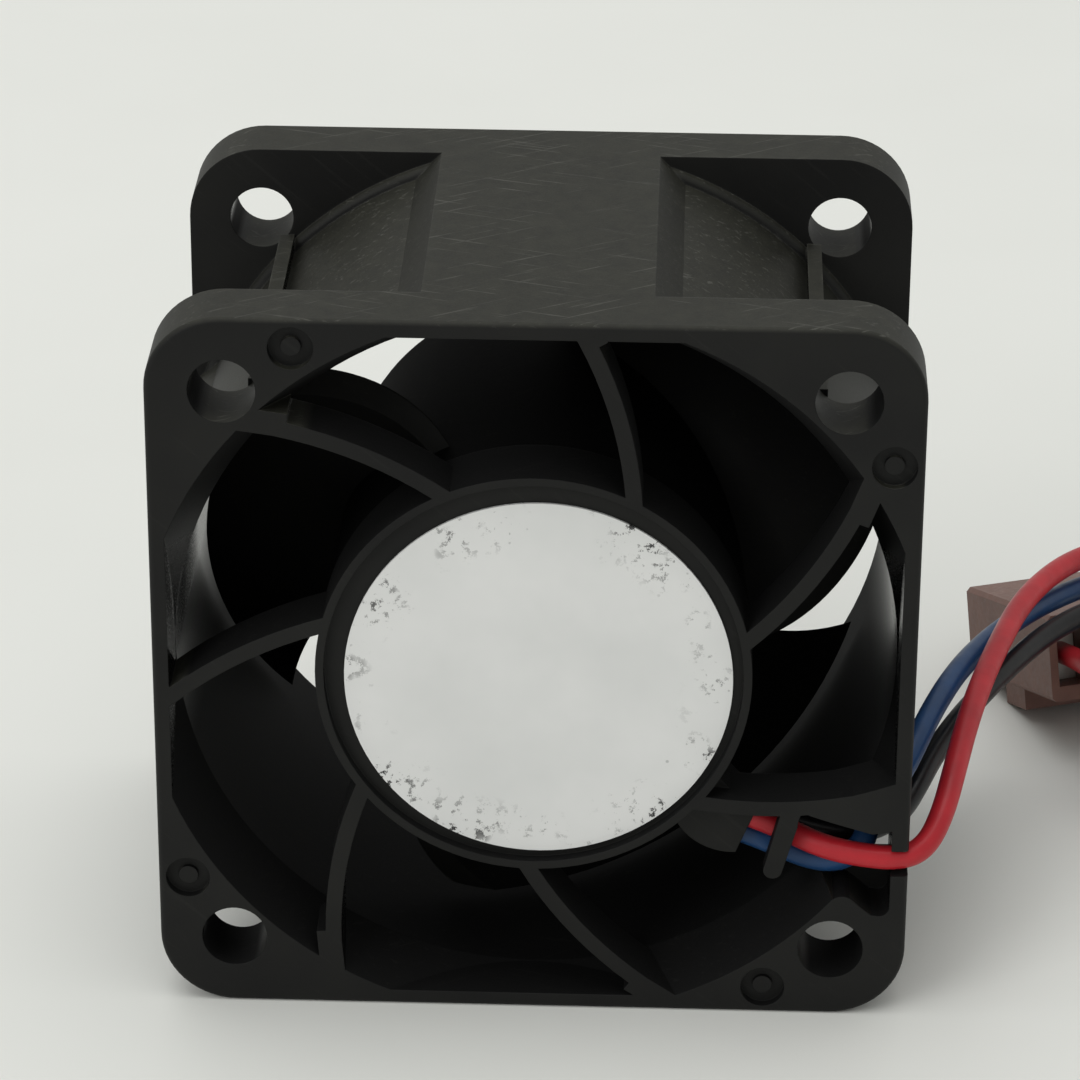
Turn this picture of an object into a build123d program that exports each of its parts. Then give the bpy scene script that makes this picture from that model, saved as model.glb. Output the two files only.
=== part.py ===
from build123d import *
from math import cos, degrees, pi, radians, sin, sqrt, tan
import os

# Small axial cooling fan, 40 mm square and 28 mm deep, as separate pieces. Millimetres.
# X is to the right, Y runs along the fan axis from the outlet face at the front to the inlet
# face at the back, Z is up. The fan stands on its lower edge at z = 0 and the origin is under
# the middle of its body.

os.makedirs("parts", exist_ok=True)

# Frame
side = 40.0
depth = 28.0
flange = 4.0
corner_radius = 4.0
edge_round = 0.3
hole_inset = 4.0
hole_diameter = 3.5
duct_wall = 0.9
mouth_overlap = 0.6
mouth_depth = 3.6
rim_web = 0.86
foot_radius = 0.5
pad_width = 12.0
pad_bevel = 1.4
bead_inset = 5.0
bead_width = 0.8

# Motor base and guide vanes
base_radius = 11.45
base_rim = 0.45
label_recess = 0.6
base_floor = 1.4
base_depth = 4.2
base_wall = 0.55
vane_count = 7
vane_thickness = 0.85
vane_depth = 3.2
vane_start = 114.1
vane_mid_turn = 11.3
vane_end_turn = 23.0
root_turn = 17.9
root_length = 2.0
root_extra = 0.45
label_inset = 1.25
label_thickness = 0.15
label_shift = (0.25, -0.37)

# Gate marks on the outlet face
gate_diameter = 2.36
gate_depth = 0.5
gate_nub = 1.05
gate_nub_height = 0.25
gate_from_hole = 3.57
gate_inset = 1.57

# Lead exit: block on the motor base, hook on the vane, slot and notch in the flange
lead_diameter = 1.3
exit_angle = -22.1
exit_drop = 2.13
exit_block_back = 1.3
gusset_depth = 3.4
hook_thickness = 0.9
slot_web = 0.93
pocket_wall = 1.0
window_low = 8.3
window_past = 0.7
notch_low = 8.55
notch_high = 10.05
notch_depth = 1.5

# Shaft, bearings and their tube
fit = 0.02
shaft_diameter = 3.0
shaft_back_from_face = 1.0
bearing_outer = 7.0
bearing_width = 3.0
race_wall = 0.55
ball_diameter = 1.0
ball_play = 0.02
balls = 7
cage_wall = 0.5
cage_width = 1.6
tube_wall = 0.9
tube_lip = 0.5
tube_past_bearing = 0.4
tube_shoulder = 0.6
front_bearing_inset = 2.4
rear_bearing_inset = 9.8
clip_width = 0.4
clip_reach = 1.0
clip_play = 0.03
groove_depth = 0.3
spring_wire = 0.3
spring_turns = 3

# Stator
stack_from_front = 9.0
stack_from_back = 11.0
stator_radius = 8.55
pole_width = 2.6
pole_count = 4
shoe_depth = 0.9
shoe_gap = 1.6
core_ring = 1.2
insulator_wall = 0.8
lip_wall = 0.4
lip_rise = 0.35
winding_build = 1.0
coil_gap = 0.05
air_gap = 0.3
pin_circle = 6.6
pin_radius = 0.25
pin_tab = 1.4

# Rotor
magnet_wall = 1.15
magnet_from_front = 5.4
magnet_from_plate = 3.9
cup_wall = 0.6
cup_from_front = 5.1
cup_from_back = 3.4
cup_plate = 0.7
bushing_radius = 3.0
bushing_neck = 2.2
bushing_length = 1.3
bushing_proud = 0.3
hub_wall = 0.6
hub_from_front = 4.8
hub_from_back = 2.4
hub_round = 1.4
blade_count = 3
blade_tip_gap = 0.5
blade_from_front = 6.6
blade_from_back = 7.05
tip_from_front = 9.9
tip_from_back = 6.95
blade_thickness = 1.1
blade_twist = 0.1165
blade_twist_slope = 0.0056
blade_phase = 37.4
blade_sweep = 8.0
blade_bow = 8.1
blade_curl = -7.4

# Circuit board and its parts
board_thickness = 0.8
board_inset = 1.1
board_from_front = 2.8
board_seat = 0.75
board_play = 0.1
socket_wall = 0.8
pin_proud = 0.35
hall_inset = 0.95
hall_size = (1.5, 2.9, 0.9)
chip_size = (3.0, 3.0, 0.95)
capacitor_size = (1.6, 3.2, 1.6)
resistor_size = (1.25, 2.0, 0.45)
chip_from_hole = 0.4
part_shift = 0.2

# Plug on the leads
plug_length = 12.8
plug_width = 7.9
plug_height = 5.2
plug_pitch = 2.5
plug_heading = -70.5
plug_tilt = 17.3
plug_from_frame = (9.74, 29.70)
cavity_width = 1.9
cavity_height = 3.4
cavity_depth = 5.5
latch_from = 0.42
latch_to = 0.65
lead_inset = 2.0
plug_approach = 3.0

# Shared places
front = -depth / 2
back = depth / 2
axis_height = side / 2
hole_pitch = side - 2 * hole_inset
gate_offset = hole_pitch / 2 - gate_from_hole
duct_outer = side / 2
duct_radius = duct_outer - duct_wall
mouth_radius = side / 2 + mouth_overlap
flange_back = front + flange
base_back = front + base_depth
floor_front = front + label_recess
floor_back = floor_front + base_floor
label_radius = base_radius - label_inset
front_bearing = front + front_bearing_inset
rear_bearing = back - rear_bearing_inset
stack_front = front + stack_from_front
stack_length = depth - stack_from_front - stack_from_back
cup_front = front + cup_from_front
cup_end = back - cup_from_back
magnet_front = front + magnet_from_front
magnet_length = cup_end - cup_plate - magnet_from_plate - magnet_front
hub_front = front + hub_from_front
hub_back = back - hub_from_back
blade_front = front + blade_from_front
blade_back = back - blade_from_back
blade_tip_front = front + tip_from_front
blade_tip_back = back - tip_from_back
board_radius = base_radius - board_inset
board_front = front + board_from_front
cup_inner = stator_radius + air_gap + magnet_wall
cup_outer = cup_inner + cup_wall
hub_radius = cup_outer + hub_wall
tip_radius = duct_radius - blade_tip_gap
tube_inner = bearing_outer / 2
tube_outer = tube_inner + tube_wall
tube_front = floor_front + tube_lip
board_hole = tube_outer + socket_wall + board_play
part_circle = (tube_outer + socket_wall + board_radius - board_seat) / 2 + part_shift
shaft_radius = shaft_diameter / 2
fan_axis = Axis((0, 0, axis_height), (0, 1, 0))
section = Plane.XY.offset(axis_height)


def face_at(y):
    """Plane square to the fan axis at depth y, X right and Z up from the axis, facing forward."""
    return Plane(origin=(0, y, axis_height), x_dir=(1, 0, 0), z_dir=(0, -1, 0))


def polar(radius, angle):
    """Point on a plane square to the axis, from a radius and an angle in degrees."""
    return (radius * cos(radians(angle)), radius * sin(radians(angle)))


def corner(across, up):
    """Point on a face_at plane, measured in from the right side and up from the lower edge."""
    return (side / 2 - across, up - axis_height)


def band(inner, outer, start, end, mode=Mode.ADD):
    """Rectangle in the half section: radius across, depth along the axis."""
    with Locations(((inner + outer) / 2, (start + end) / 2)):
        Rectangle(outer - inner, end - start, mode=mode)


def save(piece, name):
    """Label a finished piece and write it under its own name."""
    piece.part.label = name
    export_step(piece.part, f"parts/{name}.step")


# Mouth cutter: a shallow cone that is clipped by the straight sides of the opening
half_opening = side / 2 - rim_web
with BuildPart() as mouth:
    with BuildSketch(section):
        with BuildLine():
            Polyline(
                (0, front - 1), (mouth_radius, front - 1), (mouth_radius, front),
                (duct_radius - 0.05, front + mouth_depth), (0, front + mouth_depth), close=True,
            )
        make_face()
    revolve(axis=fan_axis)
    mirror(about=Plane.XZ)
    with BuildSketch(face_at(front - 2)):
        Rectangle(2 * half_opening, 2 * half_opening)
    extrude(amount=-(depth + 4), mode=Mode.INTERSECT)

# Guide vanes from the motor base to the duct, thicker where they meet it
with BuildPart() as vanes:
    for number in range(vane_count):
        angle = vane_start + 360 / vane_count * number
        with BuildSketch(face_at(front)):
            with BuildLine():
                ThreePointArc(
                    polar(base_radius - base_rim / 2, angle),
                    polar((base_radius + mouth_radius) / 2 - 0.5, angle + vane_mid_turn),
                    polar(mouth_radius + 0.4, angle + vane_end_turn),
                )
            trace(line_width=vane_thickness)
        extrude(amount=-vane_depth)
        with BuildSketch(face_at(front)):
            with BuildLine():
                root_foot = mouth_radius + 0.4 - root_length
                Line(polar(root_foot, angle + root_turn),
                     polar(mouth_radius + 0.4, angle + vane_end_turn - 0.65))
            trace(line_width=vane_thickness + root_extra)
        extrude(amount=-vane_depth)
    with BuildSketch(face_at(front)):
        Rectangle(side - rim_web, side - rim_web)
    extrude(amount=-depth, mode=Mode.INTERSECT)

# Frame, duct, guide vanes and motor base, moulded in one piece
with BuildPart() as housing:
    with BuildSketch(face_at(front), face_at(back - flange)):
        RectangleRounded(side, side, corner_radius)
    extrude(amount=-flange)
    outer_rims = edges().filter_by(Plane.XZ).group_by(Axis.Y)
    fillet(outer_rims[0] + outer_rims[-1], edge_round)
    with BuildSketch(face_at(front + flange / 2)):
        Circle(duct_outer)
        half_pad = pad_width / 2
        pad_foot = half_pad + pad_bevel
        for turn in range(4):
            with BuildLine(Plane.XY.rotated((0, 0, 90 * turn))):
                Polyline(
                    (0, pad_foot), (side / 2 - pad_bevel, pad_foot), (side / 2, half_pad),
                    (side / 2, -half_pad), (side / 2 - pad_bevel, -pad_foot), (0, -pad_foot),
                    close=True,
                )
            make_face()
        bead_middle = side / 2 - bead_inset - bead_width / 2
        with GridLocations(2 * bead_middle, 2 * bead_middle, 2, 2):
            Rectangle(bead_width, bead_width)
    extrude(amount=-(depth - flange))
    with BuildSketch(section):
        with BuildLine():
            Polyline((duct_radius, flange_back), (duct_outer + foot_radius, flange_back))
            RadiusArc((duct_outer + foot_radius, flange_back),
                      (duct_outer, flange_back + foot_radius), -foot_radius)
            Polyline((duct_outer, flange_back + foot_radius),
                     (duct_radius, flange_back + foot_radius), (duct_radius, flange_back))
        make_face()
        mirror(about=Plane.XZ)
    revolve(axis=fan_axis)
    with BuildSketch(face_at(front - 1)):
        RectangleRounded(side, side, corner_radius)
    extrude(amount=-(depth + 2), mode=Mode.INTERSECT)
    with BuildSketch(face_at(front)):
        Circle(duct_radius)
    extrude(amount=-depth, mode=Mode.SUBTRACT)
    add(mouth.part, mode=Mode.SUBTRACT)
    add(vanes.part)
    with BuildSketch(face_at(front), face_at(back - flange)):
        with GridLocations(hole_pitch, hole_pitch, 2, 2):
            Circle(hole_diameter / 2)
    extrude(amount=-flange, mode=Mode.SUBTRACT)
    with BuildSketch(face_at(front + exit_block_back)):
        with BuildLine():
            aside = polar(1, exit_angle + 90)
            exit_x, exit_z = base_radius, exit_drop - base_radius
            face_top = (exit_x + 0.95 * aside[0], exit_z + 0.95 * aside[1])
            face_foot = (exit_x - 1.7 * aside[0], exit_z - 1.7 * aside[1])
            wall_top = polar(base_radius - base_wall, -32)
            wall_foot = polar(base_radius - base_wall, -50)
            lobe_end = polar(base_radius + 0.4, -50)
            Polyline(wall_top, face_top, face_foot)
            ThreePointArc(face_foot, polar(base_radius + 3.3, -47.3), lobe_end)
            Polyline(lobe_end, wall_foot, wall_top)
        make_face()
    extrude(amount=-(base_depth - exit_block_back))
    with BuildSketch(face_at(front)):
        Circle(base_radius - base_wall)
    extrude(amount=-base_depth, mode=Mode.SUBTRACT)
    with BuildSketch(section):
        band(tube_outer, base_radius, floor_front, floor_back)
        band(tube_inner, tube_outer, floor_front, tube_front)
        band(base_radius - base_rim, base_radius, front, floor_front)
        band(base_radius - base_wall, base_radius, floor_front, base_back)
        band(board_radius - board_seat, base_radius - base_wall / 2, floor_back, board_front)
        band(tube_outer, tube_outer + socket_wall, floor_back, base_back)
    revolve(axis=fan_axis)
    with BuildSketch(face_at(front)):
        with BuildLine():
            Polyline(corner(5.9, 12.5), corner(3.6, 13.2), corner(2.0, 13.7), corner(0.6, 14.2),
                     corner(0.6, 11.25), corner(1.43, 11.14), corner(2.0, 11.07),
                     corner(4.14, 11.71), corner(5.3, 12.1), corner(5.9, 12.5))
        make_face()
    extrude(amount=-gusset_depth)
    with BuildSketch(face_at(front)):
        with BuildLine():
            Polyline(corner(7.71, 8.75), corner(6.9, 12.0), corner(6.9, 12.4), corner(5.6, 12.4))
            ThreePointArc(corner(5.6, 12.4), corner(5.85, 12.0), corner(5.95, 11.4))
            Line(corner(5.95, 11.4), corner(6.73, 8.6))
            ThreePointArc(corner(6.73, 8.6), corner(7.32, 8.28), corner(7.71, 8.75))
        make_face()
    extrude(amount=-hook_thickness)
    with BuildSketch(face_at(front)):
        with BuildLine():
            Polyline(corner(5.4, 12.05), corner(4.14, 11.71), corner(2.0, 11.07),
                     corner(1.43, 11.14), corner(slot_web, 11.25), corner(slot_web, 6.7))
            ThreePointArc(corner(slot_web, 6.7), corner(1.1, 6.25), corner(1.5, 6.1))
            Polyline(corner(1.5, 6.1), corner(1.9, 6.15), corner(2.57, 6.7), corner(3.05, 7.13))
            ThreePointArc(corner(3.05, 7.13), corner(3.45, 7.25), corner(3.95, 7.05))
            Polyline(corner(3.95, 7.05), corner(5.4, 8.5), corner(5.4, 12.05))
        make_face()
    extrude(amount=-(flange - pocket_wall), mode=Mode.SUBTRACT)
    with BuildSketch(face_at(front)):
        with BuildLine():
            Polyline(corner(5.4, 12.05), corner(4.14, 11.71), corner(2.0, 11.07),
                     corner(1.43, 11.14), corner(slot_web, 11.25), corner(slot_web, window_low),
                     corner(5.4, window_low), corner(5.4, 12.05))
        make_face()
    extrude(amount=-(flange + window_past), mode=Mode.SUBTRACT)
    with BuildSketch(face_at(front)):
        with Locations(corner(0, (notch_low + notch_high) / 2)):
            Rectangle(2 * slot_web + 0.2, notch_high - notch_low)
    extrude(amount=-notch_depth, mode=Mode.SUBTRACT)
    gates = [Location((0, 0, 0), (0, 0, 90 * turn)) for turn in range(4)]
    with BuildSketch(face_at(front)):
        with Locations(*gates):
            with Locations((-gate_offset, side / 2 - gate_inset)):
                Circle(gate_diameter / 2)
    extrude(amount=-gate_depth, mode=Mode.SUBTRACT)
    with BuildSketch(face_at(front + gate_depth)):
        with Locations(*gates):
            with Locations((-gate_offset, side / 2 - gate_inset)):
                Circle(gate_nub / 2)
    extrude(amount=gate_nub_height)
save(housing, "housing")

# Round label stuck in the recess of the motor base, a little off centre as it was placed
with BuildPart() as label_disc:
    with BuildSketch(face_at(floor_front)):
        with Locations(label_shift):
            Circle(label_radius)
    extrude(amount=label_thickness)
save(label_disc, "label_disc")

# Bearing tube with an inner shoulder between the bearings
with BuildPart() as bearing_tube:
    with BuildSketch(section):
        band(tube_inner + fit, tube_outer - fit, tube_front, rear_bearing + bearing_width
             + tube_past_bearing)
        band(tube_inner - tube_shoulder, tube_outer - fit, front_bearing + bearing_width,
             rear_bearing)
    revolve(axis=fan_axis)
save(bearing_tube, "bearing_tube")


def bearing(name, start):
    """Ball bearing in four pieces, its front face at depth start."""
    middle = start + bearing_width / 2
    pitch_radius = (shaft_radius + bearing_outer / 2) / 2
    ball_radius = ball_diameter / 2
    with BuildPart() as outer:
        with BuildSketch(section):
            band(bearing_outer / 2 - race_wall, bearing_outer / 2, start, start + bearing_width)
            with Locations((pitch_radius, middle)):
                Circle(ball_radius + ball_play, mode=Mode.SUBTRACT)
        revolve(axis=fan_axis)
    save(outer, f"{name}_outer")
    with BuildPart() as inner:
        with BuildSketch(section):
            band(shaft_radius, shaft_radius + race_wall, start, start + bearing_width)
            with Locations((pitch_radius, middle)):
                Circle(ball_radius + ball_play, mode=Mode.SUBTRACT)
        revolve(axis=fan_axis)
    save(inner, f"{name}_inner")
    with BuildPart() as ball_set:
        with Locations(face_at(middle)):
            with PolarLocations(pitch_radius, balls):
                Sphere(ball_radius)
    save(ball_set, f"{name}_balls")
    with BuildPart() as cage:
        with BuildSketch(section):
            band(pitch_radius - cage_wall / 2, pitch_radius + cage_wall / 2,
                 middle - cage_width / 2, middle + cage_width / 2)
        revolve(axis=fan_axis)
        for number in range(balls):
            out = Vector(cos(2 * pi * number / balls), 0, sin(2 * pi * number / balls))
            pocket = Plane(origin=Vector(0, middle, axis_height) + out * pitch_radius, z_dir=out)
            with Locations(pocket):
                Cylinder(ball_radius + ball_play, 2 * cage_wall, mode=Mode.SUBTRACT)
    save(cage, f"{name}_cage")


bearing("front_bearing", front_bearing)
bearing("rear_bearing", rear_bearing)

# Laminated core with four poles
core_bore = tube_outer + fit
ring_radius = core_bore + core_ring
shoe_inner = stator_radius - shoe_depth
pole_middle = (ring_radius + shoe_inner) / 2
pole_length = shoe_inner - ring_radius + 0.8
lip_outer = shoe_inner + 0.1 + lip_wall
half_turn = 180 / pole_count
with BuildPart() as stator_core:
    with BuildSketch(face_at(stack_front)):
        Circle(stator_radius)
        Circle(shoe_inner, mode=Mode.SUBTRACT)
        with PolarLocations(stator_radius, pole_count, start_angle=half_turn):
            Rectangle(2 * shoe_depth + 1, shoe_gap, mode=Mode.SUBTRACT)
        Circle(ring_radius)
        with PolarLocations(pole_middle, pole_count):
            Rectangle(pole_length, pole_width)
        Circle(core_bore, mode=Mode.SUBTRACT)
    extrude(amount=-stack_length)
save(stator_core, "stator_core")


def insulator(name, start, outward):
    """Moulded end cap of the core: a thin plate with lips that hold the windings."""
    with BuildPart() as cap:
        with BuildSketch(face_at(start)):
            Circle(ring_radius)
            with PolarLocations((ring_radius + lip_outer) / 2 - 0.2, pole_count):
                Rectangle(lip_outer - ring_radius + 0.4, pole_width)
            with PolarLocations(pin_circle / 2 + 0.3, pole_count, start_angle=half_turn):
                Rectangle(pin_circle + 0.6, pin_tab)
            Circle(core_bore, mode=Mode.SUBTRACT)
        extrude(amount=outward * insulator_wall)
        with BuildSketch(face_at(start)):
            Circle(core_bore + lip_wall)
            Circle(core_bore, mode=Mode.SUBTRACT)
            with PolarLocations(lip_outer - lip_wall / 2, pole_count):
                Rectangle(lip_wall, pole_width + 2 * winding_build)
        extrude(amount=outward * (insulator_wall + winding_build + lip_rise))
    save(cap, name)


insulator("front_insulator", stack_front, 1)
insulator("rear_insulator", stack_front + stack_length, -1)

# Four windings, one around each pole
stack_middle = stack_front + stack_length / 2
coil_half = stack_length / 2 + insulator_wall + coil_gap
coil_side = pole_width / 2 + coil_gap + winding_build
coil_end = sqrt(shoe_inner ** 2 - coil_side ** 2) - 0.08
with BuildPart() as stator_windings:
    for pole in range(pole_count):
        out = Vector(cos(2 * pi * pole / pole_count), 0, sin(2 * pi * pole / pole_count))
        foot = Vector(0, stack_middle, axis_height) + out * (ring_radius + 0.15)
        with BuildSketch(Plane(origin=foot, x_dir=(0, 1, 0), z_dir=out)):
            RectangleRounded(2 * (coil_half + winding_build), 2 * coil_side, winding_build)
            Rectangle(2 * coil_half, pole_width + 2 * coil_gap, mode=Mode.SUBTRACT)
        extrude(amount=coil_end - ring_radius - 0.15)
save(stator_windings, "stator_windings")

pin_start = stack_front - insulator_wall
with BuildPart() as winding_pins:
    with BuildSketch(face_at(pin_start)):
        with PolarLocations(pin_circle, pole_count, start_angle=half_turn):
            Circle(pin_radius)
    extrude(amount=pin_start - board_front + pin_proud)
save(winding_pins, "winding_pins")

# Round circuit board on the ledge of the base, with its parts
board_back = board_front + board_thickness
with BuildPart() as circuit_board:
    with BuildSketch(face_at(board_front)):
        Circle(board_radius)
        Circle(board_hole, mode=Mode.SUBTRACT)
        with PolarLocations(pin_circle, pole_count, start_angle=half_turn):
            Circle(pin_radius, mode=Mode.SUBTRACT)
    extrude(amount=-board_thickness)
save(circuit_board, "circuit_board")


def board_parts(name, plane, size, radius, angles, outward):
    """Small parts soldered on one side of the board, each square to a radius of the board."""
    with BuildPart() as parts:
        with BuildSketch(plane):
            for angle in angles:
                with PolarLocations(radius, 1, start_angle=angle):
                    Rectangle(size[0], size[1])
        extrude(amount=outward * size[2])
        tops = parts.faces().filter_by(Axis.Y).group_by(Axis.Y)[0 if outward > 0 else -1]
        chamfer([edge for top in tops for edge in top.edges()], 0.1)
    save(parts, name)


chip_circle = board_hole + chip_from_hole + chip_size[0] / 2
board_parts("hall_sensor", face_at(board_back), hall_size, board_radius - hall_inset, [22], -1)
board_parts("driver_chip", face_at(board_back), chip_size, chip_circle, [180], -1)
board_parts("capacitors", face_at(board_back), capacitor_size, part_circle, [90, 270], -1)
board_parts("resistors", face_at(board_front), resistor_size, part_circle,
            [0, 80, 100, 180, 260, 280], 1)

# Rotor: steel cup, ring magnet, brass bushing and shaft
with BuildPart() as rotor_cup:
    with BuildSketch(section):
        band(cup_inner, cup_outer, cup_front, cup_end)
        band(bushing_neck, cup_outer, cup_end - cup_plate, cup_end)
    revolve(axis=fan_axis)
save(rotor_cup, "rotor_cup")

with BuildPart() as ring_magnet:
    with BuildSketch(section):
        band(cup_inner - magnet_wall, cup_inner, magnet_front, magnet_front + magnet_length)
    revolve(axis=fan_axis)
save(ring_magnet, "ring_magnet")

bushing_front = cup_end - cup_plate - bushing_length
with BuildPart() as shaft_bushing:
    with BuildSketch(section):
        band(shaft_radius, bushing_radius, bushing_front, cup_end - cup_plate)
        band(shaft_radius, bushing_neck, bushing_front, cup_end + bushing_proud)
    revolve(axis=fan_axis)
save(shaft_bushing, "shaft_bushing")

shaft_front = front + shaft_back_from_face
washer_width = 0.35
clip_front = front_bearing - washer_width - clip_width - 2 * clip_play
groove_radius = shaft_radius - groove_depth
with BuildPart() as shaft:
    with BuildSketch(section):
        band(0, shaft_radius, shaft_front, cup_end + bushing_proud)
        band(groove_radius, shaft_radius + 1, clip_front - clip_play,
             clip_front + clip_width + clip_play, mode=Mode.SUBTRACT)
    revolve(axis=fan_axis)
    chamfer(edges().filter_by(GeomType.CIRCLE).group_by(Axis.Y)[0], 0.2)
save(shaft, "shaft")

with BuildPart() as retaining_clip:
    with BuildSketch(face_at(clip_front)):
        Circle(shaft_radius + clip_reach)
        Circle(groove_radius, mode=Mode.SUBTRACT)
        with Locations((0, -shaft_radius - clip_reach)):
            Rectangle(1.6 * groove_radius, 2 * (shaft_radius + clip_reach), mode=Mode.SUBTRACT)
    extrude(amount=-clip_width)
save(retaining_clip, "retaining_clip")

with BuildPart() as shaft_washer:
    with BuildSketch(section):
        band(shaft_radius, shaft_radius + race_wall, front_bearing - washer_width, front_bearing)
    revolve(axis=fan_axis)
save(shaft_washer, "shaft_washer")

# Preload spring between the rear bearing and the bushing
spring_front = rear_bearing + bearing_width
spring_pitch = (bushing_front - spring_front - spring_wire) / spring_turns
with BuildPart() as preload_spring:
    with BuildLine():
        coil = Helix(spring_pitch, spring_pitch * spring_turns, shaft_radius + spring_wire,
                     center=(0, spring_front + spring_wire / 2, axis_height), direction=(0, 1, 0))
    with BuildSketch(Plane(origin=coil @ 0, z_dir=coil % 0)):
        Circle(spring_wire / 2)
    sweep()
save(preload_spring, "preload_spring")


def blade_lean(radius):
    """Turn of the blade about the axis, in radians per millimetre of depth."""
    return blade_twist + blade_twist_slope * (radius - 15) / 4


def blade_edge(y, hand):
    """Three points on one side of the blade at depth y, from inside the hub to past the tip."""
    points = []
    middle = (blade_front + blade_tip_back) / 2
    fade = 1 - 0.4 * ((y - middle) / (blade_tip_back - middle + 0.4)) ** 2
    for radius in (hub_radius - 0.3, (hub_radius + tip_radius) / 2, tip_radius + 0.4):
        reach = (radius - hub_radius) / (tip_radius - hub_radius)
        angle = blade_phase + degrees(blade_lean(radius) * y) + blade_sweep * reach ** 2
        angle += blade_bow * (y / 10) ** 2 + blade_curl * (y / 10) ** 3
        half = blade_thickness / 2 * fade * sqrt(1 + (radius * blade_lean(radius)) ** 2)
        points.append(polar(radius, angle + hand * degrees(half / radius)))
    return points


# One blade: sections across the axis, turned step by step, then cut to its edge lines
stations = 8
with BuildPart() as blade:
    for step in range(stations):
        y = blade_front - 0.4 + step * (blade_tip_back - blade_front + 0.8) / (stations - 1)
        one, other = blade_edge(y, 1), blade_edge(y, -1)
        with BuildSketch(face_at(y)):
            with BuildLine():
                ThreePointArc(*one)
                Line(one[2], other[2])
                ThreePointArc(*other[::-1])
                Line(other[0], one[0])
            make_face()
    loft()
    inside = hub_radius - 0.45
    with BuildSketch(section):
        with BuildLine():
            Polyline((hub_radius, blade_back), (inside, blade_back), (inside, blade_front),
                     (hub_radius, blade_front), (tip_radius, blade_tip_front),
                     (tip_radius, blade_tip_back), (hub_radius, blade_back))
        make_face()
    revolve(axis=fan_axis, mode=Mode.INTERSECT)

with BuildPart() as impeller:
    with BuildSketch(section):
        band(cup_outer, hub_radius, hub_front, hub_back)
        band(0, hub_radius, cup_end, hub_back)
        band(0, bushing_neck, cup_end, cup_end + bushing_proud, mode=Mode.SUBTRACT)
    revolve(axis=fan_axis)
    fillet(edges().filter_by(GeomType.CIRCLE).group_by(Axis.Y)[-1], hub_round)
    for number in range(blade_count):
        add(blade.part.rotate(fan_axis, 360 / blade_count * number))
save(impeller, "impeller")

# Plug on the end of the leads, lying on its latch and its far edge
plug_run, plug_lift = radians(plug_heading), radians(plug_tilt)
plug_out = Vector(cos(plug_run) * cos(plug_lift), sin(plug_run) * cos(plug_lift), sin(plug_lift))
plug_origin = Vector(side / 2 + plug_from_frame[0], front + plug_from_frame[1],
                     plug_length * sin(plug_lift) + 0.005)
plug_face = Plane(origin=plug_origin, x_dir=(-sin(plug_run), cos(plug_run), 0), z_dir=plug_out)
cavities = [(plug_width / 2 + (way - 1) * plug_pitch, plug_height / 2) for way in range(3)]
latch_height = 0.97 * plug_length * (1 - latch_to) * tan(plug_lift)
with BuildPart() as plug_housing:
    with BuildSketch(plug_face):
        with Locations((plug_width / 2, plug_height / 2)):
            Rectangle(plug_width, plug_height)
    extrude(amount=-plug_length)
    chamfer(edges().filter_by(Axis(plug_origin, plug_out)), 0.25)
    with BuildSketch(plug_face.offset(-latch_from * plug_length)):
        with Locations((plug_width / 2, -latch_height / 2 + 0.2)):
            Rectangle(plug_width - 0.8, latch_height + 0.4)
    extrude(amount=-(latch_to - latch_from) * plug_length)
    with BuildSketch(plug_face):
        with Locations(*cavities):
            Rectangle(cavity_width, cavity_height)
    extrude(amount=-cavity_depth, mode=Mode.SUBTRACT)
    with BuildSketch(plug_face.offset(-cavity_depth)):
        with Locations(*cavities):
            Rectangle(cavity_width / 2, cavity_width / 2)
    extrude(amount=-plug_length, mode=Mode.SUBTRACT)
save(plug_housing, "plug_housing")

with BuildPart() as plug_terminals:
    with BuildSketch(plug_face.offset(-lead_inset)):
        with Locations(*cavities):
            Rectangle(cavity_width - 2 * fit, cavity_height - 2 * fit)
    extrude(amount=-(cavity_depth - lead_inset))
save(plug_terminals, "plug_terminals")


def from_frame(x, y, z):
    """Point from the lower right front corner of the frame, z up from the ground."""
    return Vector(side / 2 + x, front + y, z)


def lead(name, along, y, route, way):
    """Round lead from the face of the exit block, along a chosen route, to its terminal."""
    ahead, aside = polar(1, exit_angle), polar(1, exit_angle + 90)
    start = Vector(exit_x + along * aside[0], y, axis_height + exit_z + along * aside[1])
    cavity = plug_face.from_local_coords((*cavities[way], 0))
    points = [start, start + Vector(ahead[0], 0, ahead[1]) * 1.8]
    points += [from_frame(*point) for point in route]
    points += [cavity + plug_out * plug_approach, cavity - plug_out * lead_inset]
    radii = []
    for before, here, after in zip(points, points[1:], points[2:]):
        turn = radians((here - before).get_angle(after - here))
        shorter = min((here - before).length, (after - here).length)
        radii.append(0.45 * shorter / tan(turn / 2))
    with BuildPart() as piece:
        with BuildLine() as path:
            FilletPolyline(*points, radius=radii)
        with BuildSketch(Plane(origin=start, z_dir=points[1] - start)):
            Circle(lead_diameter / 2)
        sweep(path=path.wires()[0])
    length = path.wires()[0].length
    expected = pi * (lead_diameter / 2) ** 2 * length
    print(name, "length", round(length, 1), "volume ratio", round(piece.part.volume / expected, 4),
          "radii", [round(value, 1) for value in radii])
    save(piece, name)


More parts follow.
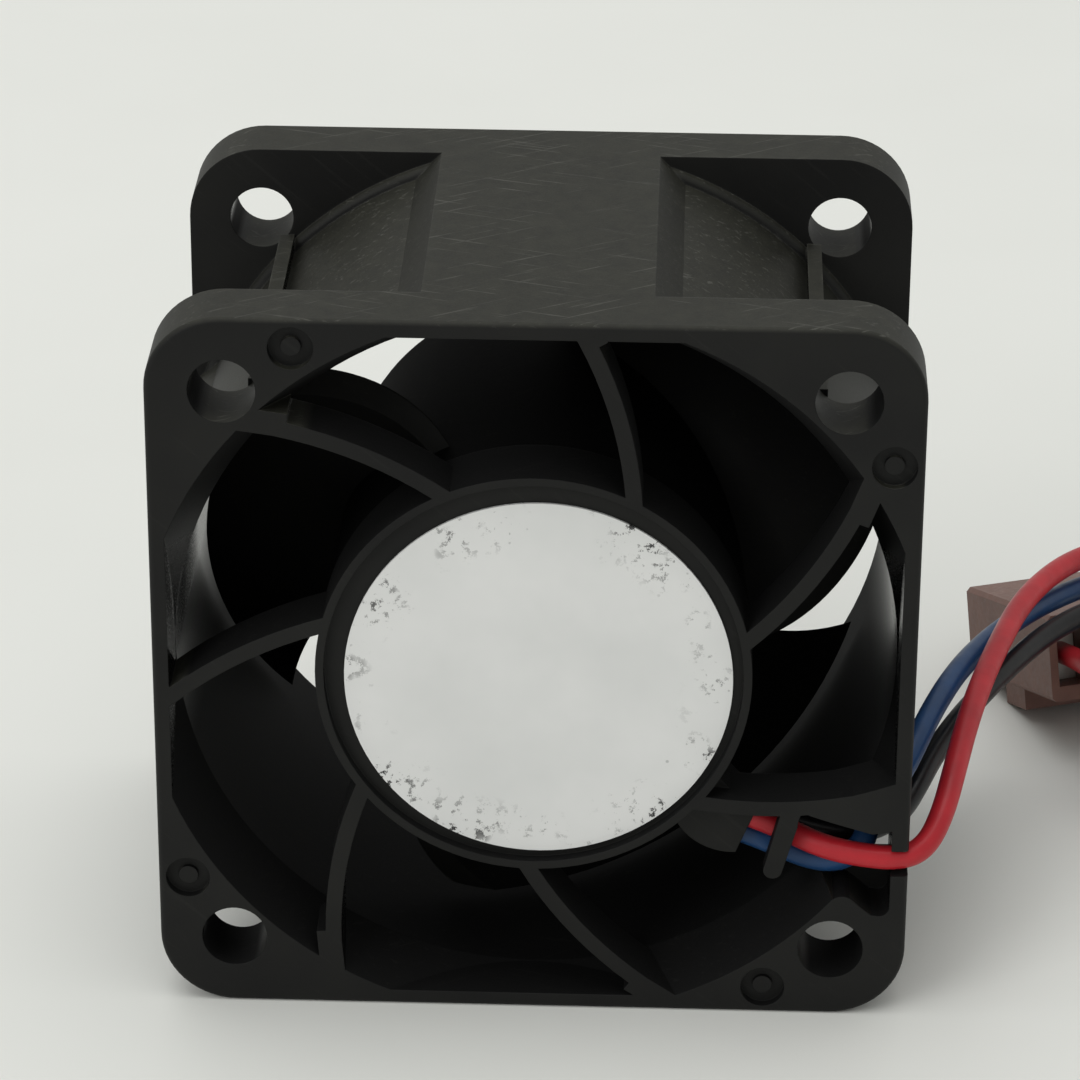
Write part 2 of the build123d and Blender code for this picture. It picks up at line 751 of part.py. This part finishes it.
lead("red_wire", 0.35, front + 2.0, [
    (-4.7, 1.15, 9.7), (-2.6, 0.72, 9.42), (-0.3, 0.67, 9.28), (1.0, 1.0, 9.9), (1.9, 2.7, 11.1),
    (2.6, 5.8, 12.1), (3.4, 9.8, 12.8), (4.4, 14.1, 13.2), (5.6, 18.6, 13.35), (7.0, 23.5, 13.3),
    (8.9, 28.0, 13.0), (11.2, 31.8, 12.5), (14.3, 34.8, 11.9), (18.4, 36.4, 11.0),
    (22.8, 35.6, 9.7), (26.2, 32.6, 8.2), (27.6, 28.2, 6.6), (26.7, 23.6, 5.2),
    (23.6, 20.1, 4.9), (19.2, 18.9, 5.3), (15.4, 20.5, 6.1), (13.4, 23.4, 6.9),
], 0)
lead("blue_wire", -0.95, front + 2.55, [
    (-5.2, 2.2, 8.35), (-3.5, 1.95, 8.4), (-2.3, 2.25, 9.3), (-2.0, 3.5, 10.25),
    (-1.35, 5.0, 10.6), (-0.3, 6.2, 11.4), (0.5, 8.0, 12.2), (1.5, 11.2, 12.7),
    (3.0, 15.7, 12.8), (4.9, 20.4, 12.4), (7.2, 25.2, 11.7), (9.4, 29.0, 11.05),
    (11.9, 32.1, 10.6), (15.6, 34.5, 9.9), (19.8, 35.4, 8.7), (24.0, 34.2, 7.0),
    (27.2, 31.0, 5.4), (28.4, 26.8, 4.1), (27.4, 22.6, 3.2), (24.4, 19.4, 2.8),
    (20.2, 18.7, 3.4), (16.9, 21.2, 4.8), (15.5, 24.5, 6.4),
], 1)
lead("black_wire", 0.35, front + 3.35, [
    (-4.9, 3.4, 9.7), (-3.4, 3.75, 9.25), (-2.2, 4.25, 8.98), (-1.1, 5.1, 8.98), (-0.1, 6.2, 9.3),
    (0.7, 7.7, 10.0), (1.6, 10.3, 10.4), (3.0, 13.6, 10.75), (4.8, 17.2, 11.0),
    (6.7, 21.0, 11.0), (8.7, 24.8, 10.8), (11.2, 28.0, 10.7), (14.6, 30.7, 10.5),
    (18.6, 32.3, 9.3), (22.8, 32.4, 7.0), (26.0, 30.0, 4.6), (27.6, 26.4, 2.5),
    (27.1, 22.9, 1.2), (24.6, 19.9, 0.7), (21.2, 19.7, 1.2), (18.7, 21.8, 3.0),
    (17.6, 25.0, 6.0),
], 2)
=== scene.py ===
"""Looks of the small axial fan: camera, light, leads and the materials of every piece."""

import math

import bpy
from mathutils import Matrix, Vector


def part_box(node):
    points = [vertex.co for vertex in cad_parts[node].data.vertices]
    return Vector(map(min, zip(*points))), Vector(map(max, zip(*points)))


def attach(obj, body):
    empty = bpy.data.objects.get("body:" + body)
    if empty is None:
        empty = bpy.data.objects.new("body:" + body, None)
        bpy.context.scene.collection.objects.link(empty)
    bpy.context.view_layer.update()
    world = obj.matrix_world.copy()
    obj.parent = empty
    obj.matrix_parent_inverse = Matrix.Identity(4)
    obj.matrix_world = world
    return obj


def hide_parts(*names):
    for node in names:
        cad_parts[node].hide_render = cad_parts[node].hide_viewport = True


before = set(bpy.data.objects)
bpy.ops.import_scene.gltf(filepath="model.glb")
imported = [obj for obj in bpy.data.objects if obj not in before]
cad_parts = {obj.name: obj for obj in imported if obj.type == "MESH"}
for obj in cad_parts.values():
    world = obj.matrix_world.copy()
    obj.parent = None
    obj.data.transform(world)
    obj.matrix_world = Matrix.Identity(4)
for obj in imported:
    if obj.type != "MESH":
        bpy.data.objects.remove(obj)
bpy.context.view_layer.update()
MM = 0.001

# Places that the frame gives
housing_low, housing_high = (Vector(corner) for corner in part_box("housing"))
label_low, label_high = (Vector(corner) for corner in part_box("label_disc"))
SIDE = housing_high.x - housing_low.x
FRONT = housing_low.y
AXIS = Vector((0, 0, (housing_low.z + housing_high.z) / 2))
DUCT_RADIUS = 18.9 * MM
LABEL_MIDDLE = Vector(((label_low.x + label_high.x) / 2, 0, (label_low.z + label_high.z) / 2))
LABEL_RADIUS = (label_high.x - label_low.x) / 2

# Camera, from the angle of the photograph
PICTURE = 1080
SENSOR = 36
FOCAL = 4816
TARGET_PIXEL = (542.6, 561.3)
AZIMUTH, ELEVATION, ROLL = (math.radians(angle) for angle in (1.841, 25.741, 0.358))
DISTANCE = 264.4 * MM

# Studio: lamps as place, size and watts
GROUND_REACH = 2
SKY = (0.93, 0.94, 0.92, 1)
SKY_STRENGTH = 0.6
LAMPS = {
    "overhead": ((-0.1, 0.05, 0.9), 0.9, 3.6),
    "front_left": ((-0.5, -0.55, 0.5), 0.4, 1.6),
}

# Leads, in millimetres from the lower right front corner of the housing. Each route gives where
# its lead leaves the exit block, across the block and behind the front, then the points it passes.
LEAD = 1.3
EXIT_ANGLE = math.radians(-22.1)
EXIT_PLACE = (11.45, 10.68)
EXIT_RUN = 1.8
PLUG_AT = (9.74, 29.70)
PLUG_HEADING, PLUG_TILT = math.radians(-70.5), math.radians(17.3)
PLUG_SIZE = (7.9, 12.8, 5.2)
PLUG_PITCH = 2.5
LEAD_INSET = 2.0
PLUG_APPROACH = 3.0
LEAD_COLOURS = {
    "red": (0.50, 0.018, 0.028),
    "blue": (0.014, 0.06, 0.17),
    "black": (0.006, 0.006, 0.007),
}
ROUTES = {
    "red": (0.35, 2.0, [
        (-4.7, 1.15, 9.7), (-2.6, 0.72, 9.42), (-0.3, 0.67, 9.28), (1.0, 1.0, 9.9),
        (1.9, 2.7, 11.1), (2.6, 5.8, 12.1), (3.4, 9.8, 12.8), (4.4, 14.1, 13.2),
        (5.6, 18.6, 13.35), (7.0, 23.5, 13.3), (8.9, 28.0, 13.0), (11.2, 31.8, 12.5),
        (14.3, 34.8, 11.9), (18.4, 36.4, 11.0), (22.8, 35.6, 9.7), (26.2, 32.6, 8.2),
        (27.6, 28.2, 6.6), (26.7, 23.6, 5.2), (23.6, 20.1, 4.9), (19.2, 18.9, 5.3),
        (15.4, 20.5, 6.1), (13.4, 23.4, 6.9),
    ]),
    "blue": (-0.95, 2.55, [
        (-5.2, 2.2, 8.35), (-3.5, 1.95, 8.4), (-2.3, 2.25, 9.3), (-2.0, 3.5, 10.25),
        (-1.35, 5.0, 10.6), (-0.3, 6.2, 11.4), (0.5, 8.0, 12.2), (1.5, 11.2, 12.7),
        (3.0, 15.7, 12.8), (4.9, 20.4, 12.4), (7.2, 25.2, 11.7), (9.4, 29.0, 11.05),
        (11.9, 32.1, 10.6), (15.6, 34.5, 9.9), (19.8, 35.4, 8.7), (24.0, 34.2, 7.0),
        (27.2, 31.0, 5.4), (28.4, 26.8, 4.1), (27.4, 22.6, 3.2), (24.4, 19.4, 2.8),
        (20.2, 18.7, 3.4), (16.9, 21.2, 4.8), (15.5, 24.5, 6.4),
    ]),
    "black": (0.35, 3.35, [
        (-4.9, 3.4, 9.7), (-3.4, 3.75, 9.25), (-2.2, 4.25, 8.98), (-1.1, 5.1, 8.98),
        (-0.1, 6.2, 9.3), (0.7, 7.7, 10.0), (1.6, 10.3, 10.4), (3.0, 13.6, 10.75),
        (4.8, 17.2, 11.0), (6.7, 21.0, 11.0), (8.7, 24.8, 10.8), (11.2, 28.0, 10.7),
        (14.6, 30.7, 10.5), (18.6, 32.3, 9.3), (22.8, 32.4, 7.0), (26.0, 30.0, 4.6),
        (27.6, 26.4, 2.5), (27.1, 22.9, 1.2), (24.6, 19.9, 0.7), (21.2, 19.7, 1.2),
        (18.7, 21.8, 3.0), (17.6, 25.0, 6.0),
    ]),
}


def add_camera():
    """Camera on the photograph's line of sight, with its picture centre moved by lens shift."""
    back = Vector((math.sin(AZIMUTH) * math.cos(ELEVATION),
                   -math.cos(AZIMUTH) * math.cos(ELEVATION), math.sin(ELEVATION)))
    right = Vector((math.cos(AZIMUTH), math.sin(AZIMUTH), 0))
    up = back.cross(right)
    rolled_right = math.cos(ROLL) * right + math.sin(ROLL) * up
    rolled_up = math.cos(ROLL) * up - math.sin(ROLL) * right
    data = bpy.data.cameras.new("camera")
    data.sensor_width = SENSOR
    data.lens = FOCAL / PICTURE * SENSOR
    data.shift_x = (PICTURE / 2 - TARGET_PIXEL[0]) / PICTURE
    data.shift_y = (TARGET_PIXEL[1] - PICTURE / 2) / PICTURE
    data.clip_start = 0.01
    camera = bpy.data.objects.new("camera", data)
    bpy.context.collection.objects.link(camera)
    turn = Matrix((rolled_right, rolled_up, back)).transposed()
    camera.matrix_world = Matrix.Translation(AXIS + back * DISTANCE) @ turn.to_4x4()
    bpy.context.scene.camera = camera


def grey(level, blue=1.0):
    """A grey of one level, warmer where its blue is held back."""
    return (level, level, level * blue)


def darker(colour, share):
    """A colour with only a share of its light."""
    return tuple(channel * share for channel in colour)


class Value:
    """What changes over a surface, as the output of a node. Sums on numbers add Math nodes."""

    def __init__(self, shade, socket):
        self.shade = shade
        self.socket = socket

    def work_out(self, operation, first, second):
        return self.shade.node("Math", {"operation": operation}, {0: first, 1: second})

    def __add__(self, other):
        return self.work_out("ADD", self, other)

    def __sub__(self, other):
        return self.work_out("SUBTRACT", self, other)

    def __rsub__(self, other):
        return self.work_out("SUBTRACT", other, self)

    def __mul__(self, other):
        return self.work_out("MULTIPLY", self, other)

    def __truediv__(self, other):
        return self.work_out("DIVIDE", self, other)

    def __neg__(self):
        return self.work_out("MULTIPLY", self, -1.0)

    def __or__(self, other):
        """Either of two masks."""
        return self.work_out("MAXIMUM", self, other)

    __radd__ = __add__
    __rmul__ = __mul__


class Shade:
    """A node material, with the patterns that the finishes of this fan are made of."""

    def __init__(self, name, **values):
        self.material = bpy.data.materials.new(name)
        self.material.use_nodes = True
        self.tree = self.material.node_tree
        self.shader = self.tree.nodes["Principled BSDF"]
        self.place = self.node("TexCoord", output="Object")
        self.set(**values)

    def node(self, kind, settings=None, inputs=None, output=0):
        """Add a node: its settings first, then the values or links of its sockets."""
        made = self.tree.nodes.new(f"ShaderNode{kind}")
        for key, value in (settings or {}).items():
            if key == "stops":
                for element, (position, level) in zip(made.color_ramp.elements, value):
                    element.position = position
                    element.color = (level, level, level, 1)
            else:
                setattr(made, key, value)
        for key, value in (inputs or {}).items():
            self.join(value, made.inputs[key])
        return Value(self, made.outputs[output])

    def join(self, value, socket):
        """Link what changes to a socket, or set a plain number, vector or colour on it."""
        if isinstance(value, Value):
            self.tree.links.new(value.socket, socket)
        elif socket.type == "RGBA":
            socket.default_value = (*value, 1)
        else:
            socket.default_value = value

    def set(self, **values):
        """Set inputs of the surface shader, named with underscores."""
        for key, value in values.items():
            name = " ".join(word.capitalize() for word in key.split("_")).replace("Ior", "IOR")
            self.join(value, self.shader.inputs[name])

    def drawn_out(self, lengths, turn=(0, 0, 0)):
        """Object coordinates turned, then drawn out along each axis."""
        return self.node("Mapping", {"vector_type": "TEXTURE"},
                         {"Vector": self.place, "Rotation": turn, "Scale": lengths})

    def noise(self, size, detail=4, roughness=0.55, place=None):
        """Fractal noise whose features are about size millimetres."""
        return self.node("TexNoise", None, {
            "Vector": place or self.place, "Scale": 1 / (size * MM), "Detail": detail,
            "Roughness": roughness,
        }, "Fac")

    def cells(self, size, randomness=1.0):
        """Distance to the nearest of scattered points about size millimetres apart."""
        return self.node("TexVoronoi", None, {
            "Vector": self.place, "Scale": 1 / (size * MM), "Randomness": randomness,
        }, "Distance")

    def wave(self, settings, size, **inputs):
        """Even bands or rings, one wave to a third of size millimetres."""
        return self.node("TexWave", settings, {
            "Vector": self.place, "Scale": 1 / (size * MM), **inputs,
        }, "Fac")

    def ramp(self, factor, first, last):
        """A number that goes from first to last, each given as (factor, number)."""
        return self.node("ValToRGB", {"stops": (first, last)}, {"Fac": factor}, "Color")

    def mix(self, factor, first, second):
        """Blend of two colours."""
        return self.node("Mix", {"data_type": "RGBA"}, {0: factor, 6: first, 7: second}, 2)

    def vector(self, operation, *inputs, output=0):
        return self.node("VectorMath", {"operation": operation}, dict(enumerate(inputs)), output)

    def spoke(self, centre):
        """From a line along the fan axis through the centre to each point, square to the line."""
        return self.vector("MULTIPLY_ADD", self.place, (1, 0, 1), -centre)

    def reach(self, centre):
        """Distance from that line."""
        return self.vector("LENGTH", self.spoke(centre), output="Value")

    def facing(self, direction):
        """How far the surface faces a direction, from -1 to 1."""
        normal = self.node("NewGeometry", output="Normal")
        return self.vector("DOT_PRODUCT", normal, direction, output="Value")

    def bevelled(self, radius):
        """Normal of the surface with its edges rounded by radius millimetres."""
        return self.node("Bevel", {"samples": 6}, {"Radius": radius * MM})

    def bump(self, height, depth, strength=1.0, soften=0.0):
        """Surface relief of about depth millimetres, over edges rounded by soften millimetres."""
        inputs = {"Height": height, "Distance": depth * MM, "Strength": strength}
        if soften:
            inputs["Normal"] = self.bevelled(soften)
        self.set(normal=self.node("Bump", None, inputs))


def scratches(shade, turn, facing):
    """Mask of fine scratches, drawn one way on the sides that face one way."""
    place = shade.drawn_out((26, 1, 1), turn)
    fine = shade.ramp(shade.noise(0.28, 4, 0.65, place), (0.62, 0), (0.66, 1))
    return fine * shade.ramp(facing, (0.5, 0), (0.8, 1))


def dust_and_top_light(shade, upward, outward):
    """Mask of what faces up and away from the fan axis, in patches: dust lying there, together
    with painted light from above.
    """
    return (shade.ramp(upward, (0.25, 0), (0.92, 1)) * shade.ramp(outward, (0.02, 0), (0.2, 1))
            * shade.ramp(shade.noise(1.1, 6, 0.75), (0.3, 0.5), (0.68, 1)))


def rubbed_and_highlit_edges(shade, outward):
    """Mask of the outer edges, rubbed pale in patches, together with a painted highlight along
    them.
    """
    sharp = 1 - shade.facing(shade.bevelled(0.22))
    return (shade.ramp(sharp, (0.02, 0), (0.25, 1)) * shade.ramp(outward, (0, 0), (0.15, 0.6))
            * shade.ramp(shade.noise(1.6, 5, 0.7), (0.42, 0.1), (0.62, 1)))


def black_plastic(name, tone=0.006, rough=0.5, dust_and_top_light_level=0.029, reflect=0.2):
    """Black moulded plastic: dusty and scuffed outside the duct, with painted light from above on
    its upward faces and a painted highlight along its edges; clean inside the duct, with painted
    shade darkening it.
    """
    shade = Shade(name, specular_ior_level=reflect)
    upward = shade.facing((0, 0, 1))
    lengthwise = shade.facing((0, 1, 0))
    end_on = lengthwise * lengthwise
    outward = shade.facing(shade.vector("NORMALIZE", shade.spoke(AXIS)))
    outside = shade.ramp(shade.reach(AXIS) / DUCT_RADIUS, (0.955, 0), (0.985, 1))
    inward = shade.ramp(-outward, (0.02, 0), (0.25, 1))
    # Painted shade: faces turned toward the axis, and the inside of the duct away from its ends,
    # are darkened.
    painted_duct_shade = inward | (1 - outside) * shade.ramp(end_on, (0.3, 1), (0.7, 0))
    side_wall = (inward * shade.ramp(upward, (0.03, 1), (0.3, 0))
                 * shade.ramp(-upward, (0.3, 1), (0.6, 0)))
    dust_and_top_light_mask = dust_and_top_light(shade, upward, outward) * outside
    marks = (scratches(shade, (0, 0, 0.55), upward) | scratches(shade, (0, 0, -0.3), upward)
             | scratches(shade, (0, 0.7, 0), end_on))
    film = shade.ramp(shade.noise(9, 3), (0.35, 0), (0.75, 1))
    grain = shade.noise(0.12, 3, 0.6)
    colour = shade.mix(film, grey(tone, 0.97), grey(tone * 1.9, 0.895))
    # Painted shade inside the duct.
    colour = shade.mix(painted_duct_shade, colour, grey(tone * 0.4))
    # Dust on the upward outer faces, together with painted light from above.
    colour = shade.mix(dust_and_top_light_mask, colour, grey(dust_and_top_light_level, 0.76))
    # Rubbed edges, together with a painted highlight along them.
    colour = shade.mix(rubbed_and_highlit_edges(shade, outward) * outside, colour, grey(0.095, 0.874))
    colour = shade.mix(marks * (0.03 + dust_and_top_light_mask * 0.4), colour, grey(0.13, 0.885))
    shade.set(base_color=colour,
              roughness=rough + grain * 0.14 + painted_duct_shade * 0.24 - side_wall * 0.55)
    shade.bump(grain, 0.012, 0.5, soften=0.1)
    return shade


def label_surface():
    """Pale silver grey label, scuffed through to black near its rim."""
    shade = Shade("label", roughness=0.42)
    rim = shade.ramp(shade.reach(LABEL_MIDDLE) / LABEL_RADIUS, (0.72, 0), (0.97, 1))
    chips = (shade.ramp(shade.noise(0.7, 6, 0.75), (0.572, 0), (0.592, 1))
             * shade.ramp(shade.noise(3.2, 3, 0.5), (0.47, 0), (0.60, 1)))
    specks = (shade.ramp(shade.cells(1.3), (0.05, 1), (0.085, 0))
              * shade.ramp(shade.noise(2.2, 2, 0.5), (0.52, 0), (0.6, 1)))
    scuffed = (chips | specks) * rim
    tint = shade.mix(shade.ramp(shade.noise(6, 3), (0.3, 0), (0.7, 1)),
                     (0.69, 0.695, 0.685), (0.76, 0.76, 0.75))
    shade.set(base_color=shade.mix(scuffed, tint, grey(0.03)))
    shade.bump(1 - scuffed, 0.02, 0.6)
    return shade


def insulation(name, colour):
    """Soft glossy lead insulation with faint handling marks."""
    shade = Shade(name, specular_ior_level=0.3, coat_weight=0.06)
    cloud = shade.ramp(shade.noise(2.4, 4, 0.6), (0.3, 0), (0.75, 1))
    shade.set(base_color=shade.mix(cloud, darker(colour, 0.72), colour),
              roughness=shade.ramp(shade.noise(0.9, 3), (0.3, 0.34), (0.8, 0.5)))
    shade.bump(shade.noise(0.5, 3), 0.012, 0.4)
    return shade


def metal(name, colour, rough=0.25, lines=(1, 1, 1)):
    """Machined or drawn metal, with fine lines drawn out along an axis."""
    shade = Shade(name, metallic=1.0)
    fine = shade.noise(0.15, 3, 0.6, shade.drawn_out(lines))
    cloud = shade.ramp(shade.noise(1.5, 3), (0.3, 0), (0.7, 1))
    shade.set(base_color=shade.mix(cloud, darker(colour, 0.75), colour),
              roughness=shade.ramp(fine, (0.3, rough * 0.8), (0.7, rough * 1.3)))
    shade.bump(fine, 0.006, 0.5, soften=0.06)
    return shade


def moulded(name, colour, rough=0.45, speckle=0.3):
    """Moulded plastic of any colour, slightly mottled."""
    shade = Shade(name)
    cloud = shade.ramp(shade.noise(1.2, 4, 0.6), (0.35, 0), (0.7, 1))
    shade.set(base_color=shade.mix(cloud, darker(colour, 1 - speckle), colour),
              roughness=shade.ramp(shade.noise(0.3, 3), (0.3, rough * 0.85), (0.7, rough * 1.15)))
    shade.bump(shade.noise(0.2, 3), 0.01, 0.4, soften=0.06)
    return shade


def copper_turns():
    """Enamelled copper wire laid side by side."""
    shade = Shade("windings", metallic=0.9, roughness=0.3)
    turns = shade.wave({"wave_type": "RINGS", "rings_direction": "Y"}, 3.2,
                       Distortion=0.6, Detail=1.0)
    shade.set(base_color=shade.mix(turns, (0.32, 0.10, 0.03), (0.80, 0.34, 0.13)))
    shade.bump(turns, 0.06, 0.9)
    return shade


def board_surface():
    """Green solder mask over copper tracks."""
    shade = Shade("board", roughness=0.35, coat_weight=0.3)
    tracks = shade.ramp(shade.cells(2.1, 0.6), (0.10, 1), (0.14, 0))
    shade.set(base_color=shade.mix(tracks, (0.012, 0.10, 0.04), (0.03, 0.2, 0.08)))
    shade.bump(tracks, 0.02, 0.5)
    return shade


def laminations():
    """Edges of stacked sheet steel."""
    shade = Shade("laminations", metallic=0.9, roughness=0.4)
    sheets = shade.wave({"bands_direction": "Y"}, 3.0)
    shade.set(base_color=shade.mix(sheets, (0.16, 0.15, 0.14), (0.42, 0.42, 0.43)))
    shade.bump(sheets, 0.04, 0.7)
    return shade


def dress_nodes():
    """Give every CAD node its material."""
    steel = metal("steel", (0.62, 0.63, 0.65), 0.18)
    spring = metal("spring_steel", (0.45, 0.45, 0.47), 0.3)
    brass = metal("brass", (0.72, 0.52, 0.24), 0.28)
    tin = metal("tin", (0.66, 0.64, 0.58), 0.35)
    cage = moulded("cage_plastic", (0.42, 0.24, 0.10))
    insulator = moulded("insulator_plastic", (0.55, 0.52, 0.44))
    chip = moulded("chip_plastic", (0.025, 0.025, 0.026), 0.4)
    dress = {
        "housing": black_plastic("housing_plastic"),
        # A darker tone than the housing: painted shade inside the duct.
        "impeller": black_plastic("impeller_plastic", 0.005, 0.5, 0.005, 0.08),
        "label_disc": label_surface(),
        "plug_housing": moulded("plug_plastic", (0.17, 0.078, 0.057), 0.5, 0.2),
        "plug_terminals": tin,
        "winding_pins": tin,
        "rotor_cup": metal("cup_steel", (0.40, 0.41, 0.43), 0.32, (1, 6.7, 1)),
        "ring_magnet": moulded("magnet", (0.055, 0.055, 0.06), 0.6),
        "stator_core": laminations(),
        "stator_windings": copper_turns(),
        "front_insulator": insulator,
        "rear_insulator": insulator,
        "circuit_board": board_surface(),
        "hall_sensor": chip,
        "driver_chip": chip,
        "resistors": chip,
        "capacitors": moulded("capacitor_ceramic", (0.36, 0.25, 0.16), 0.4),
        "bearing_tube": brass,
        "shaft_bushing": brass,
        "shaft": steel,
        "shaft_washer": steel,
        "retaining_clip": spring,
        "preload_spring": spring,
    }
    for end in ("front", "rear"):
        for race in ("outer", "inner", "balls"):
            dress[f"{end}_bearing_{race}"] = steel
        dress[f"{end}_bearing_cage"] = cage
    for node, shade in dress.items():
        slots = bpy.data.objects[node].material_slots
        for slot in slots:
            slot.material = shade.material
        if not slots:
            bpy.data.objects[node].data.materials.append(shade.material)


def plug_frame():
    """Mouth corner of the plug and its directions: out of the mouth, across and up."""
    out = Vector((math.cos(PLUG_HEADING) * math.cos(PLUG_TILT),
                  math.sin(PLUG_HEADING) * math.cos(PLUG_TILT), math.sin(PLUG_TILT)))
    across = Vector((-math.sin(PLUG_HEADING), math.cos(PLUG_HEADING), 0))
    corner = Vector((*PLUG_AT, PLUG_SIZE[1] * math.sin(PLUG_TILT)))
    return corner, out, across, out.cross(across)


def lead_points(route, way):
    """Route of one lead in metres: out of the exit block, along its way and into the plug."""
    along, depth, points = route
    ahead = Vector((math.cos(EXIT_ANGLE), 0, math.sin(EXIT_ANGLE)))
    aside = Vector((-ahead.z, 0, ahead.x))
    start = Vector((EXIT_PLACE[0] - SIDE / MM / 2, depth, EXIT_PLACE[1])) + aside * along
    corner, out, across, up = plug_frame()
    cavity = (corner + across * (PLUG_SIZE[0] / 2 + (way - 1) * PLUG_PITCH)
              + up * PLUG_SIZE[2] / 2)
    whole = [start, start + ahead * EXIT_RUN, *(Vector(point) for point in points),
             cavity + out * PLUG_APPROACH, cavity - out * LEAD_INSET]
    corner_of_housing = Vector((SIDE / 2, FRONT, 0))
    return [corner_of_housing + point * MM for point in whole]


def smooth_lead(name, points):
    """A round lead on a smooth curve through its route, with closed ends."""
    curve = bpy.data.curves.new(name, "CURVE")
    curve.dimensions = "3D"
    curve.bevel_depth = LEAD / 2 * MM
    curve.bevel_resolution = 6
    curve.resolution_u = 16
    curve.use_fill_caps = True
    spline = curve.splines.new("NURBS")
    spline.points.add(len(points) - 1)
    for point, place in zip(spline.points, points):
        point.co = (*place, 1)
    spline.order_u = 3
    spline.use_endpoint_u = True
    lead = bpy.data.objects.new(name, curve)
    bpy.context.collection.objects.link(lead)
    return lead


def add_leads():
    """Three free leads, each from the exit block to the plug."""
    for way, (name, route) in enumerate(ROUTES.items()):
        points = lead_points(route, way)
        lead = smooth_lead(f"{name}_lead", points)
        lead.data.materials.append(insulation(f"{name}_insulation", LEAD_COLOURS[name]).material)
        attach(lead, "base")
        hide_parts(f"{name}_wire")


def add_ground():
    """Pale, faintly mottled ground."""
    data = bpy.data.meshes.new("ground")
    corners = [(-GROUND_REACH, -GROUND_REACH, 0), (GROUND_REACH, -GROUND_REACH, 0),
               (GROUND_REACH, GROUND_REACH, 0), (-GROUND_REACH, GROUND_REACH, 0)]
    data.from_pydata(corners, [], [(0, 1, 2, 3)])
    ground = bpy.data.objects.new("ground", data)
    bpy.context.collection.objects.link(ground)
    shade = Shade("ground", roughness=0.7)
    cloud = shade.ramp(shade.noise(40, 3), (0.3, 0), (0.7, 1))
    shade.set(base_color=shade.mix(cloud, (0.775, 0.782, 0.745), (0.80, 0.806, 0.77)))
    ground.data.materials.append(shade.material)


def add_light():
    """Soft light all round, from above and from the front left."""
    world = bpy.data.worlds.new("world")
    world.use_nodes = True
    background = world.node_tree.nodes["Background"]
    background.inputs["Color"].default_value = SKY
    background.inputs["Strength"].default_value = SKY_STRENGTH
    bpy.context.scene.world = world
    for name, (place, size, watts) in LAMPS.items():
        lamp = bpy.data.lights.new(name, "AREA")
        lamp.size = size
        lamp.energy = watts
        light = bpy.data.objects.new(name, lamp)
        light.location = place
        towards = AXIS - Vector(place)
        light.rotation_euler = towards.to_track_quat("-Z", "Y").to_euler()
        bpy.context.collection.objects.link(light)


bpy.context.scene.view_settings.view_transform = "Standard"
add_camera()
dress_nodes()
add_leads()
add_ground()
add_light()
